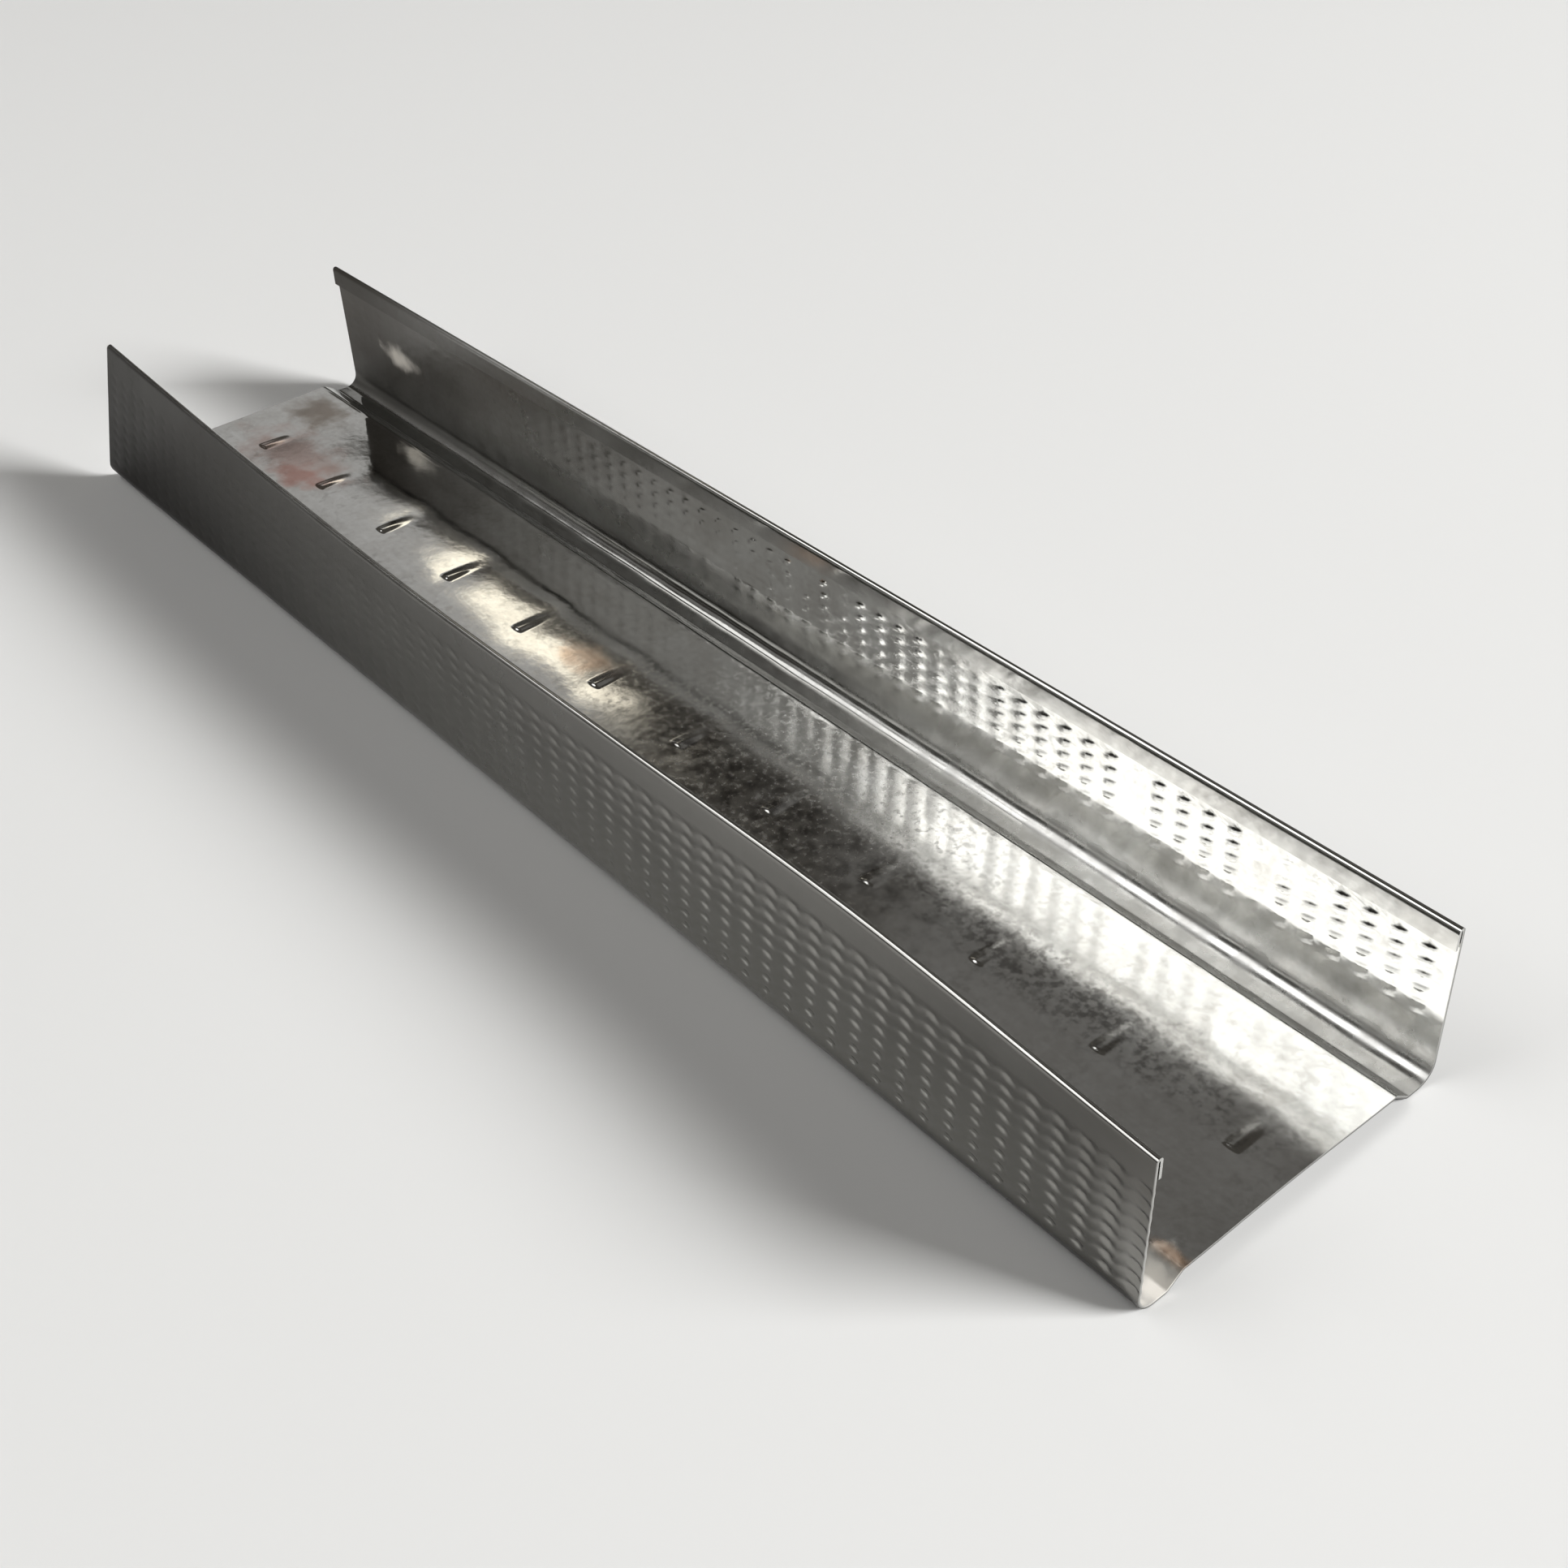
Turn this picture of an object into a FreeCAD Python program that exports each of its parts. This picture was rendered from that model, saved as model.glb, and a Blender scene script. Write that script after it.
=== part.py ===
"""Drywall track: a roll-formed U channel of thin galvanised sheet.

Millimetres. X runs along the track, Y across it, Z up. The origin is under the middle of the
track, level with the underside of the two corner beads that it rests on.
"""
import FreeCAD
import Part
import Sketcher
import math
import os

# Driving dimensions
DIMENSIONS = {
    "track_length": 304.8,
    "track_width": 63.5,
    "leg_height": 30.0,
    "sheet_thickness": 0.5,
    "corner_radius": 3.4,
    "bend_radius": 0.8,
    "bead_depth": 2.2,
    "bead_width": 9.4,
    "bead_floor": 5.6,
    "hem_depth": 4.0,
    "hem_gap": 0.3,
    "rib_pitch": 25.4,
    "rib_end_distance": 16.0,
    "rib_end_clearance": 5.0,
    "rib_length": 9.5,
    "rib_end_taper": 1.5,
    "rib_end_height": 0.3,
    "rib_offset": 2.0,
    "rib_height": 1.0,
    "rib_wall_thinning": 0.25,
}

# Ends of a line or arc, and the sketch's own origin and axes, as Sketcher numbers them
START, END, CENTRE = range(1, 4)
HORIZONTAL_AXIS, VERTICAL_AXIS = range(-1, -3, -1)
ORIGIN = HORIZONTAL_AXIS
FLAT = FreeCAD.Vector(0, 0, 1)


def make_sheet(doc):
    """The spreadsheet that holds the driving dimensions."""
    sheet = doc.addObject("Spreadsheet::Sheet", "dimensions")
    for row, (alias, value) in enumerate(DIMENSIONS.items(), start=1):
        sheet.set(f"A{row}", alias)
        sheet.set(f"B{row}", str(value))
        sheet.setAlias(f"B{row}", alias)
    doc.recompute()
    return sheet


def origin_feature(body, role):
    """An origin plane or axis of the body, by its role."""
    for feature in body.Origin.OriginFeatures:
        if feature.Role == role:
            return feature
    raise LookupError(role)


def new_sketch(body, name, plane_role):
    sketch = body.newObject("Sketcher::SketchObject", name)
    sketch.AttachmentSupport = [(origin_feature(body, plane_role), "")]
    sketch.MapMode = "FlatFace"
    return sketch


def line(sketch, first, last):
    start = FreeCAD.Vector(first[0], first[1], 0)
    end = FreeCAD.Vector(last[0], last[1], 0)
    return sketch.addGeometry(Part.LineSegment(start, end), False)


def arc(sketch, centre, radius, first_degrees, last_degrees):
    circle = Part.Circle(FreeCAD.Vector(centre[0], centre[1], 0), FLAT, radius)
    first = math.radians(first_degrees)
    last = math.radians(last_degrees)
    return sketch.addGeometry(Part.ArcOfCircle(circle, first, last), False)


def join(sketch, kind, pairs):
    """Tie the ends of neighbouring edges: each pair is (edge, end, edge, end)."""
    for pair in pairs:
        sketch.addConstraint(Sketcher.Constraint(kind, *pair))


def drive(sketch, name, formula, kind, *place):
    """Add a named size to the sketch and bind it to the spreadsheet."""
    start_value = sketch.evalExpression(formula)
    number = sketch.addConstraint(Sketcher.Constraint(kind, *place, float(start_value)))
    sketch.renameConstraint(number, name)
    sketch.setExpression(f"Constraints.{name}", formula)


def draw_half_section(body, sheet):
    """Section of the bent strip from the middle of the web out to the hem of one flange."""
    sketch = new_sketch(body, "half_section", "YZ_Plane")
    edge_y = sheet.track_width / 2
    thick = sheet.sheet_thickness
    inside = sheet.bend_radius
    outside = inside + thick
    hem_inside = sheet.hem_gap / 2
    hem_outside = hem_inside + thick
    web_under = sheet.bead_depth
    hem_foot = sheet.leg_height - sheet.hem_depth

    # Centres of the four bends: web to ramp, ramp to bead floor, bead floor to flange, and hem
    upper = (edge_y - sheet.bead_width, web_under - inside)
    lower = (edge_y - sheet.bead_floor, outside)
    corner = (edge_y - sheet.corner_radius, sheet.corner_radius)
    hem = (edge_y - hem_outside, sheet.leg_height - hem_outside)

    # The ramp is the line that crosses between the two bends
    run = lower[0] - upper[0]
    drop = lower[1] - upper[1]
    slope = math.asin((inside + outside) / math.hypot(run, drop)) - math.atan2(drop, run)
    side = (math.sin(slope), math.cos(slope))
    tilt = math.degrees(slope)

    def beside(centre, distance):
        return (centre[0] + distance * side[0], centre[1] + distance * side[1])

    # Underside and outer face
    web_low = line(sketch, (0, web_under), (upper[0], web_under))
    upper_low = arc(sketch, upper, inside, 90 - tilt, 90)
    ramp_low = line(sketch, beside(upper, inside), beside(lower, -outside))
    lower_low = arc(sketch, lower, outside, 270 - tilt, 270)
    floor_low = line(sketch, (lower[0], 0), (corner[0], 0))
    corner_out = arc(sketch, corner, sheet.corner_radius, 270, 360)
    flange_out = line(sketch, (edge_y, corner[1]), (edge_y, hem[1]))
    hem_out = arc(sketch, hem, hem_outside, 0, 180)

    # Return of the hem and its cut edge
    return_out = line(sketch, (hem[0] - hem_outside, hem[1]), (hem[0] - hem_outside, hem_foot))
    cut_edge = line(sketch, (hem[0] - hem_outside, hem_foot), (hem[0] - hem_inside, hem_foot))
    return_in = line(sketch, (hem[0] - hem_inside, hem_foot), (hem[0] - hem_inside, hem[1]))

    # Inner face and top of the web
    hem_in = arc(sketch, hem, hem_inside, 0, 180)
    flange_in = line(sketch, (hem[0] + hem_inside, hem[1]), (edge_y - thick, corner[1]))
    corner_in = arc(sketch, corner, sheet.corner_radius - thick, 270, 360)
    floor_top = line(sketch, (corner[0], thick), (lower[0], thick))
    lower_top = arc(sketch, lower, inside, 270 - tilt, 270)
    ramp_top = line(sketch, beside(lower, -inside), beside(upper, outside))
    upper_top = arc(sketch, upper, outside, 90 - tilt, 90)
    web_top = line(sketch, (upper[0], web_under + thick), (0, web_under + thick))
    middle = line(sketch, (0, web_under + thick), (0, web_under))

    join(sketch, "Tangent", [
        (web_low, END, upper_low, END),
        (upper_low, START, ramp_low, START),
        (ramp_low, END, lower_low, START),
        (lower_low, END, floor_low, START),
        (floor_low, END, corner_out, START),
        (corner_out, END, flange_out, START),
        (flange_out, END, hem_out, START),
        (hem_out, END, return_out, START),
        (return_in, END, hem_in, END),
        (hem_in, START, flange_in, START),
        (flange_in, END, corner_in, END),
        (corner_in, START, floor_top, START),
        (floor_top, END, lower_top, END),
        (lower_top, START, ramp_top, START),
        (ramp_top, END, upper_top, START),
        (upper_top, END, web_top, START),
    ])
    join(sketch, "Coincident", [
        (return_out, END, cut_edge, START),
        (cut_edge, END, return_in, START),
        (web_top, END, middle, START),
        (middle, END, web_low, START),
        (upper_low, CENTRE, upper_top, CENTRE),
        (lower_low, CENTRE, lower_top, CENTRE),
        (corner_out, CENTRE, corner_in, CENTRE),
        (hem_out, CENTRE, hem_in, CENTRE),
    ])
    join(sketch, "Horizontal", [(web_low,), (floor_low,), (cut_edge,), (web_top,)])
    join(sketch, "Vertical", [(flange_out,), (return_out,), (return_in,), (middle,)])
    join(sketch, "PointOnObject", [
        (floor_low, START, HORIZONTAL_AXIS),
        (middle, START, VERTICAL_AXIS),
    ])

    thick_bend = "dimensions.bend_radius + dimensions.sheet_thickness"
    half_width = "dimensions.track_width / 2"
    drive(sketch, "upper_inside", "dimensions.bend_radius", "Radius", upper_low)
    drive(sketch, "upper_outside", thick_bend, "Radius", upper_top)
    drive(sketch, "lower_inside", "dimensions.bend_radius", "Radius", lower_top)
    drive(sketch, "lower_outside", thick_bend, "Radius", lower_low)
    drive(sketch, "corner_outside", "dimensions.corner_radius", "Radius", corner_out)
    drive(sketch, "corner_inside", "dimensions.corner_radius - dimensions.sheet_thickness",
          "Radius", corner_in)
    drive(sketch, "hem_inside", "dimensions.hem_gap / 2", "Radius", hem_in)
    drive(sketch, "hem_outside", "dimensions.hem_gap / 2 + dimensions.sheet_thickness",
          "Radius", hem_out)
    drive(sketch, "web_level", "dimensions.bead_depth", "DistanceY",
          ORIGIN, START, web_low, START)
    drive(sketch, "half_width", half_width, "DistanceX", ORIGIN, START, flange_out, START)
    drive(sketch, "bead_inner", f"{half_width} - dimensions.bead_width", "DistanceX",
          ORIGIN, START, upper_low, CENTRE)
    drive(sketch, "bead_low", f"{half_width} - dimensions.bead_floor", "DistanceX",
          ORIGIN, START, lower_low, CENTRE)
    drive(sketch, "hem_centre",
          "dimensions.leg_height - dimensions.hem_gap / 2 - dimensions.sheet_thickness",
          "DistanceY", ORIGIN, START, hem_out, CENTRE)
    drive(sketch, "hem_foot", "dimensions.leg_height - dimensions.hem_depth", "DistanceY",
          ORIGIN, START, return_out, END)
    return sketch


def draw_rib(body, sheet, name, level, crest_height, end_inset):
    """Half outline of one web rib, drawn over its long axis at the first rib of the row."""
    sketch = new_sketch(body, name, "YZ_Plane")
    first_x = "dimensions.rib_end_distance - dimensions.track_length / 2"
    sketch.setExpression("AttachmentOffset.Base.y", level)
    sketch.setExpression("AttachmentOffset.Base.z", first_x)
    high = float(sketch.evalExpression(crest_height))
    inset = float(sketch.evalExpression(end_inset))
    near_y = sheet.rib_offset - sheet.rib_length / 2 + inset
    far_y = sheet.rib_offset + sheet.rib_length / 2 - inset
    taper = sheet.rib_end_taper
    blunt = sheet.rib_end_height

    axis = line(sketch, (near_y, 0), (far_y, 0))
    far_step = line(sketch, (far_y, 0), (far_y, blunt))
    far_slope = line(sketch, (far_y, blunt), (far_y - taper, high))
    crest = line(sketch, (far_y - taper, high), (near_y + taper, high))
    near_slope = line(sketch, (near_y + taper, high), (near_y, blunt))
    near_step = line(sketch, (near_y, blunt), (near_y, 0))
    join(sketch, "Coincident", [
        (axis, END, far_step, START),
        (far_step, END, far_slope, START),
        (far_slope, END, crest, START),
        (crest, END, near_slope, START),
        (near_slope, END, near_step, START),
        (near_step, END, axis, START),
    ])
    join(sketch, "Horizontal", [(axis,), (crest,)])
    join(sketch, "Vertical", [(far_step,), (near_step,)])
    join(sketch, "Equal", [(far_step, near_step)])
    join(sketch, "PointOnObject", [(axis, START, HORIZONTAL_AXIS)])
    reach = f"dimensions.rib_length / 2 - ({end_inset})"
    drive(sketch, "height", crest_height, "DistanceY", axis, START, crest, START)
    drive(sketch, "blunt_end", "dimensions.rib_end_height", "DistanceY",
          far_step, START, far_step, END)
    drive(sketch, "far_reach", f"dimensions.rib_offset + {reach}", "DistanceX",
          ORIGIN, START, axis, END)
    drive(sketch, "whole_length", f"2 * ({reach})", "DistanceX", axis, START, axis, END)
    drive(sketch, "far_taper", "dimensions.rib_end_taper", "DistanceX",
          crest, START, axis, END)
    drive(sketch, "near_taper", "dimensions.rib_end_taper", "DistanceX",
          axis, START, crest, END)
    return sketch


def turn_half(body, kind, name, sketch):
    """Turn a rib's half outline through the half circle above its axis."""
    feature = body.newObject(kind, name)
    feature.Profile = sketch
    feature.ReferenceAxis = (sketch, ["H_Axis"])
    feature.Angle = 180
    feature.Midplane = True
    return feature


def make_track(doc, sheet):
    body = doc.addObject("PartDesign::Body", "track")
    body.Label = "track"

    # Half of the section, run the length of the track and mirrored about its middle
    half = body.newObject("PartDesign::Pad", "half_strip")
    half.Profile = draw_half_section(body, sheet)
    half.setExpression("Length", "dimensions.track_length")
    half.Midplane = True
    strip = body.newObject("PartDesign::Mirrored", "strip")
    strip.Originals = [half]
    strip.MirrorPlane = (origin_feature(body, "XZ_Plane"), [""])
    body.Tip = strip
    doc.recompute()

    # One stamped rib: raised above the web, with its hollow underneath
    web_top = "dimensions.bead_depth + dimensions.sheet_thickness"
    hollow_radius = "dimensions.rib_height - dimensions.rib_wall_thinning"
    crown = draw_rib(body, sheet, "rib_outline", web_top, "dimensions.rib_height", "0")
    rib = turn_half(body, "PartDesign::Revolution", "rib", crown)
    doc.recompute()
    recess = draw_rib(body, sheet, "hollow_outline", "dimensions.bead_depth", hollow_radius,
                      "dimensions.rib_wall_thinning")
    hollow = turn_half(body, "PartDesign::Groove", "rib_hollow", recess)
    doc.recompute()

    # The row of ribs down the web, as many as the length has room for
    room = "dimensions.track_length - dimensions.rib_end_distance - dimensions.rib_end_clearance"
    spaces = f"floor(({room}) / dimensions.rib_pitch)"
    row = body.newObject("PartDesign::LinearPattern", "rib_row")
    row.Originals = [rib, hollow]
    row.Direction = (origin_feature(body, "X_Axis"), [""])
    row.setExpression("Length", f"dimensions.rib_pitch * {spaces}")
    row.setExpression("Occurrences", f"{spaces} + 1")
    body.Tip = row
    return body


def check_document(doc, bodies):
    """Stop if any feature failed or a finished solid is broken."""
    for item in doc.Objects:
        if "Invalid" in item.State or "Error" in item.State:
            raise RuntimeError(f"{item.Name} failed: {item.State}")
    for body in bodies:
        shape = body.Shape
        if shape.isNull() or not shape.isValid() or len(shape.Solids) != 1:
            raise RuntimeError(f"{body.Label} is not one valid solid")


def main():
    doc = FreeCAD.newDocument("drywall_track")
    sheet = make_sheet(doc)
    bodies = [make_track(doc, sheet)]
    doc.recompute()
    check_document(doc, bodies)
    os.makedirs("parts", exist_ok=True)
    for body in bodies:
        body.Shape.exportStep(f"parts/{body.Label}.step")
        print(body.Label, "volume", round(body.Shape.Volume, 2), "box", body.Shape.BoundBox)


main()
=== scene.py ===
"""Looks of the drywall track: the bent galvanised sheet, its finish, a pale floor, lights and the camera.

Lengths are written in millimetres and turned into metres where a mesh or the camera is made. The floor's
reach and the lamps are in metres. X runs along the track, Y across it and Z up. The front flange is the
one at -Y, and the near end is the one at +X.
"""
import math
from typing import NamedTuple

import bpy
import numpy as np
from mathutils import Matrix, Vector


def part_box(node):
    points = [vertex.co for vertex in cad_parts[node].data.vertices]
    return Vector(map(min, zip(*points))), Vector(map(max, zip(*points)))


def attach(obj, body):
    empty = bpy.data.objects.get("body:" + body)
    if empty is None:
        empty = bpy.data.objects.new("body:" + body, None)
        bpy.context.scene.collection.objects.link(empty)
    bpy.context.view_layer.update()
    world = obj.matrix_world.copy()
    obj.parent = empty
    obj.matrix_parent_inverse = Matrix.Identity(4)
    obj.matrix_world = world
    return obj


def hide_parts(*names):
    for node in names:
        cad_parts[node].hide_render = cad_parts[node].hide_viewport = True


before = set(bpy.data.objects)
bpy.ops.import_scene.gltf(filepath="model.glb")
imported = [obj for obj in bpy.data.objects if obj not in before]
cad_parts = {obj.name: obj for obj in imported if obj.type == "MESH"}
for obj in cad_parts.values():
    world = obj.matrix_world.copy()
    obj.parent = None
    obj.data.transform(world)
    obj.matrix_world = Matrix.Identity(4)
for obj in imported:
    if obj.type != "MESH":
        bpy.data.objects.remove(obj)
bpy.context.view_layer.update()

MM = 0.001

# Section of the strip, the overall sizes from the frame and the rest as the solid has them
LOW, HIGH = (np.array(corner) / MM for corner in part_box("track"))
LENGTH, WIDTH, LEG = HIGH - LOW
HALF_LENGTH = LENGTH / 2
HALF_WIDTH = WIDTH / 2
SHEET = 0.5
CORNER_RADIUS = 3.4
BEND_RADIUS = 0.8
BEAD_DEPTH = 2.2
BEAD_WIDTH = 9.4
BEAD_FLOOR = 5.6
HEM_DEPTH = 4.0
HEM_GAP = 0.3
FLANGE_MIDDLE = HALF_WIDTH - SHEET / 2

# The hems' lower edges stand off the flanges by a little more than in the solid
HEM_FLARE = 0.06

# How finely the bends of the section are divided, and where points lie on its straight stretches
BEND_STEPS = 5
CORNER_STEPS = 12
HEM_STEPS = 10
RAMP_SHARES = (0.08, 0.5, 0.92)
FLOOR_SHARES = (0.12, 0.5, 0.88)
TOP_SHARES = (0.0, 0.5, 0.95)
RETURN_SHARES = (0.1, 0.5, 1.0)
FOOT_MARGIN = 0.2
TOP_MARGIN = 0.7

# Steps along the track of the plain bands and of the beads, the room kept free at its two ends, and the
# angle from which an edge is sharp
COARSE_STEP = 5.0
MEDIUM_STEP = 2.0
END_MARGIN = 0.1
SHARP_DEGREES = 50.0


class Wave(NamedTuple):
    """A long wave of the web: its height, its lengths along and across for each radian, and its phase."""
    height: float
    along: float
    across: float
    phase: float


# The web between its beads is not quite flat: it is bowed up, waved, and puckered round each rib
WEB_EDGE = HALF_WIDTH - BEAD_WIDTH
WEB_CROWN = 0.5
CROWN_START = -150.0
CROWN_FULL = -85.0
WAVES = (Wave(0.03, 9.0, 14.0, 0.5), Wave(0.025, 17.0, -9.0, 2.1))
WAVE_MARGIN = 4.0

# Small dents along the beads: depth, lengths along the track for each radian, and how they shift
DENT_DEPTH = 0.018
DENT_LIFT = 1.7
DENT_LENGTH = 2.3
DENT_GROUP_LENGTH = 7.1
DENT_SWAY = 2.0
DENT_CLIMB = 0.4
LONG_DENT_SHARE = 0.7
LONG_DENT_LENGTH = 5.2

# Ribs stamped up from the web, steep at the front end and running out at the back
RIB_PITCH = 25.4
RIB_END_DISTANCE = 16.0
RIB_COUNT = 12
RIB_LENGTH = 9.5
RIB_OFFSET = 2.0
RIB_FRONT = RIB_OFFSET - RIB_LENGTH / 2
RIB_RUNOUT = 0.8
RIB_BACK = RIB_OFFSET + RIB_LENGTH / 2 - RIB_RUNOUT
RIB_HEIGHT = 0.25
RIB_HALF_WIDTH = 1.9
RIB_FRONT_TAPER = 0.75
RIB_BACK_TAPER = 7.2
RIB_DISH_DEPTH = 0.12
RIB_DISH_REACH = 5.0
RIB_DISH_STRETCH = 1.6

# Rows of points across the web: beside the ribs, and on them as shares of their tapers
WEB_MARGIN = 0.2
WEB_FRONT_ROWS = (-21.2, -18.5, -15.5, -12.5, -9.5, -7.0, -4.8)
WEB_BACK_ROWS = (9.5, 12.5, 15.5, 18.5, 21.2)
RIB_FRONT_ROWS = (-0.3, 0.0, 0.2, 0.4, 0.6, 0.8, 1.0, 1.3)
RIB_BACK_ROWS = (1.0, 0.83, 0.67, 0.5, 0.33, 0.17, 0.0, -0.15)
RIB_MIDDLE_ROWS = 3

# Places of points along the web: on each side of a rib as shares of its half width, and between the ribs
RIB_PLACES = (0.1, 0.32, 0.55, 0.76, 0.95, 1.15)
BETWEEN_PLACES = (3.0, 5.5, 8.5, 11.2)

# Dimples rolled into both flanges from outside
DIMPLE_PITCH = 5.0
DIMPLE_HALF_LENGTH = 1.6
DIMPLE_HALF_HEIGHT = 0.85
DIMPLE_SPREAD = 0.15
SHALLOW_DEPTH = 0.35
UPPER_ROWS = 2
DIMPLE_STATIONS = np.array([-1.0, -0.5, 0.0, 0.5, 1.0])


class Dimples(NamedTuple):
    """Layout of one flange's dimples."""
    last_column: float
    lowest_row: float
    row_pitch: float
    rows: int
    slant: float
    depth: float
    foot_share: float  # of the depth, in the lowest row
    far_share: float  # of the depth, at the far end
    growth: tuple  # span along the track over which the depth grows
    shallow_share: float  # of the columns, for each of three ways of being pressed less
    outer_share: float  # of the depth, on the outer face: the roll has thinned the sheet a little
    seed: int


FLANGES = {
    "front": Dimples(151.4, 5.0, 2.375, 9, -0.3, 0.3, 1.7, 0.22, (-70.0, 110.0), 0.0, 1.0, 7),
    "back": Dimples(147.9, 10.3, 2.58, 6, 0.25, 0.19, 0.4, 0.3, (-80.0, 60.0), 0.12, 1.7, 8),
}

# Painted shade on the upper half of the back flange's dimples, toward the near end, in place of the dark
# that their upper facets reflect: where it starts and is full along the track, the share of the full depth
# from which it shows and at which it is full, and its reach in half lengths and half heights of a dimple,
# with the fainter part near the crest
DIMPLE_SHADE_START = 45.0
DIMPLE_SHADE_FULL = 85.0
DIMPLE_SHADE_LEAST_DEPTH = 0.5
DIMPLE_SHADE_FULL_DEPTH = 0.8
DIMPLE_SHADE_REACH = 0.75
DIMPLE_SHADE_LOWEST = -0.25
DIMPLE_SHADE_HIGHEST = 0.75
DIMPLE_SHADE_CREST = 0.25
DIMPLE_SHADE_CREST_STRENGTH = 0.45

# Inward lean of the front flange's top at places along the track: the cut strip has sprung out of true
FRONT_LEAN = ((-152.4, 6.4), (-90.0, 3.7), (-25.0, 2.0), (40.0, 2.65), (90.0, 3.3), (152.4, 0.9))

# Stains and tints on the inside: middle, reach along each axis, colour and strength. The pink patches at the
# far end and the peach one near the middle are painted reflection tints; the brown one and the rust are real
# stains
STAINS_AND_TINTS = (
    ((-127.0, 1.0, 2.7), (19.0, 9.0, 3.0), (0.56, 0.36, 0.31), 0.6),
    ((-119.0, -3.0, 2.7), (8.0, 5.0, 3.0), (0.60, 0.33, 0.28), 0.75),
    ((-142.0, 15.5, 2.7), (10.0, 7.0, 3.0), (0.36, 0.30, 0.25), 0.8),
    ((-17.0, 2.0, 2.7), (8.5, 5.0, 3.0), (0.86, 0.62, 0.46), 0.6),
    ((150.5, -22.3, 2.5), (5.0, 1.6, 3.0), (0.62, 0.38, 0.22), 0.9),
)
# Pale chalky patches: a real smudge on the inside of the back flange, and a painted sheen at the near end of
# the front bead, standing in for the bright light it reflects
CHALK_AND_SHEEN_PATCHES = (
    ((-129.0, 31.25, 15.2), (7.0, 2.0, 2.8)),
    ((151.5, -26.5, 1.0), (8.0, 6.0, 4.0)),
)

# Vertex values: how far a point takes the outer face's painted shade and duller finish, and the painted
# shade on the back flange's dimples
OUTSIDE = "outside"
DIMPLE_SHADE = "dimple_shade"
HEM_OUTER_WEIGHT = 0.25


class Ramp(NamedTuple):
    """A value that goes smoothly from low to high while another goes from first to last."""
    first: float
    last: float
    low: float
    high: float


class Noise(NamedTuple):
    """Scale of a noise for each millimetre, and its detail."""
    scale: float
    detail: float


# Zinc: two greys mixed by clouds, speckle, roll streaks and spangle, with dark flecks in clusters
ZINC_DARK = (0.54, 0.53, 0.505)
ZINC_PALE = (0.72, 0.725, 0.71)
CLOUD_NOISE = Noise(0.07, 4.0)
CLOUD_SHARE = 0.9
SPECKLE_NOISE = Noise(0.8, 3.0)
SPECKLE_SHARE = 0.7
STREAK_NOISE = Noise(0.8, 2.0)
STREAK_SQUEEZE = (0.02, 1.0, 1.0)
STREAK_SHARE = 0.5
SPANGLE_SCALE = 0.22
SPANGLE_SHARE = 0.25
PALENESS_LEVEL = -0.68
FLECK_COLOUR = (0.30, 0.29, 0.265)
FLECK_NOISE = Noise(0.55, 4.0)
FLECK_STRENGTH = Ramp(0.52, 0.68, 0.0, 0.2)
CLUSTER_NOISE = Noise(0.09, 2.0)
CLUSTER_STRENGTH = Ramp(0.42, 0.6, 0.15, 1.0)

# Ragged edges of stains and painted tints, of the chalky smudge and painted sheen and of dirt, and how a
# patch fades out from its middle
RAGGED_NOISE = Noise(0.22, 4.0)
RAGGED_LEVEL = 0.5
RAGGED_REACH = 1.6
PATCH_EDGE = Ramp(0.2, 1.2, 1.0, 0.0)

# Dark speckled dirt on the web, before the ribs and between the near ones: middle, reach, the noise that
# breaks it up and its strength by that noise
DIRT = (
    ((36.0, -2.0, 2.7), (54.0, 9.5, 3.0), Noise(0.4, 3.0), Ramp(0.35, 0.65, 0.1, 0.8)),
    ((106.0, 3.5, 2.7), (58.0, 8.0, 3.0), Noise(0.75, 3.0), Ramp(0.4, 0.66, 0.0, 0.6)),
)
DIRT_COLOUR = (0.07, 0.062, 0.055)

# Other marks on the inside: painted shade on the far back flange, low on it and over its bead, and on its
# dimples, and pale chalky patches, one of them a painted sheen
BACK_FLANGE_ACROSS = Ramp(28.5, 30.5, 0.0, 1.0)
FAR_BACK_SHADE_COLOUR = (0.065, 0.057, 0.048)
FAR_BACK_SHADE_ALONG = Ramp(-150.0, -60.0, 0.97, 0.0)
# Painted shade: darker grey low on the back flange and over its bead, fading toward the near end
FOOT_SHADE_COLOUR = (0.16, 0.158, 0.148)
FOOT_HEIGHT = Ramp(6.0, 13.0, 0.62, 0.0)
FOOT_ALONG = Ramp(10.0, 100.0, 1.0, 0.45)
FOOT_ACROSS = Ramp(21.9, 22.9, 0.0, 1.0)
# Painted shade on the back flange's dimples: its colour and strength
DIMPLE_SHADE_COLOUR = (0.14, 0.14, 0.135)
DIMPLE_SHADE_STRENGTH = 0.82
CHALK_AND_SHEEN_COLOUR = (0.9, 0.86, 0.79)
CHALK_AND_SHEEN_STRENGTH = 0.92
CHALK_AND_SHEEN_METAL_LOSS = 0.85

# Outer face: painted shade, darker toward the far end, deepest along the lower corner, and deepened toward
# its top and near end
OUTER_SHADE_ALONG = Ramp(-150.0, 75.0, 0.0, 1.0)
OUTER_SHADE_FAR = (0.02, 0.018, 0.016)
OUTER_SHADE_NEAR = (0.34, 0.335, 0.315)
OUTER_SHADE_PALE = (0.5, 0.495, 0.47)
OUTER_SHADE_PALE_SHARE = 0.3
CORNER_SHADE_COLOUR = (0.03, 0.029, 0.027)
CORNER_HEIGHT = Ramp(1.5, 5.0, 0.85, 0.0)
CORNER_ALONG = Ramp(60.0, 130.0, 0.1, 1.15)
EXTRA_SHADE_COLOUR = (0.07, 0.065, 0.058)
EXTRA_SHADE_HEIGHT = Ramp(8.0, 29.0, 0.0, 0.45)
EXTRA_SHADE_ALONG = Ramp(125.0, 152.0, 0.0, 0.4)

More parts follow.
